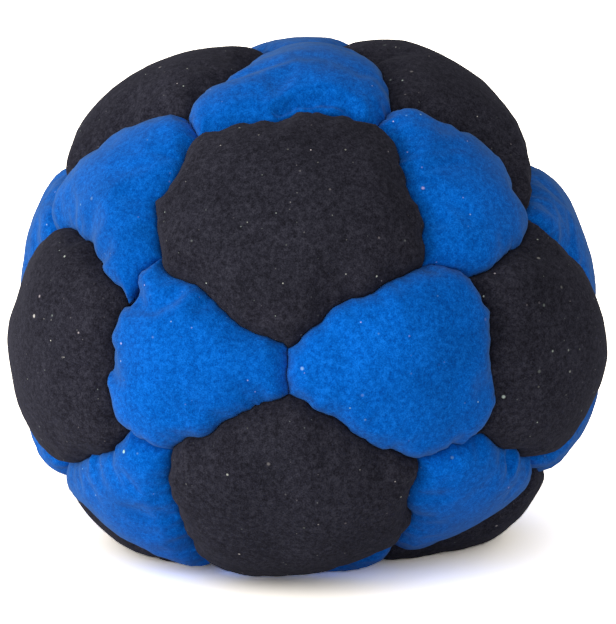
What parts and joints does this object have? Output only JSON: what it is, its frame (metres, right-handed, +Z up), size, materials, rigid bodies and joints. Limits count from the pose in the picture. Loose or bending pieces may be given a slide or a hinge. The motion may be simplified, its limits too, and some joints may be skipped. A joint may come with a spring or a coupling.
{
  "type": "juggling ball",
  "caption": "Soft sand-filled juggling ball sewn from black pentagon and blue hexagon suede panels, sagging slightly and lying on its pressed-flat base.",
  "frame": {"origin": "on the table, at the middle of the pressed-flat base, under the middle of the ball", "axes": "+Z up, from the base to the top of the ball; -Y to the front, the side with the two blue panels that meet point to point; +X to the right seen from the front"},
  "size_m": [0.0543, 0.0557, 0.0472],
  "materials": {
    "black_suede": "matte",
    "blue_suede": "matte",
    "thread": "matte",
    "sand": "matte"
  },
  "bodies": {
    "root": {"black_back_lower": "black_suede", "black_back_upper": "black_suede", "black_base_left": "black_suede", "black_base_right": "black_suede", "black_front_lower": "black_suede", "black_front_upper": "black_suede", "black_left_back": "black_suede", "black_left_front": "black_suede", "black_right_back": "black_suede", "black_right_front": "black_suede", "black_top_left": "black_suede", "black_top_right": "black_suede", "blue_back_left": "blue_suede", "blue_back_lower_left": "blue_suede", "blue_back_lower_right": "blue_suede", "blue_back_right": "blue_suede", "blue_back_upper_left": "blue_suede", "blue_back_upper_right": "blue_suede", "blue_base_back": "blue_suede", "blue_base_front": "blue_suede", "blue_front_left": "blue_suede", "blue_front_lower_left": "blue_suede", "blue_front_lower_right": "blue_suede", "blue_front_right": "blue_suede", "blue_front_upper_left": "blue_suede", "blue_front_upper_right": "blue_suede", "blue_left_lower": "blue_suede", "blue_left_upper": "blue_suede", "blue_right_lower": "blue_suede", "blue_right_upper": "blue_suede", "blue_top_back": "blue_suede", "blue_top_front": "blue_suede", "sand_fill": "sand", "seam_thread": "thread"}
  },
  "joints": []
}
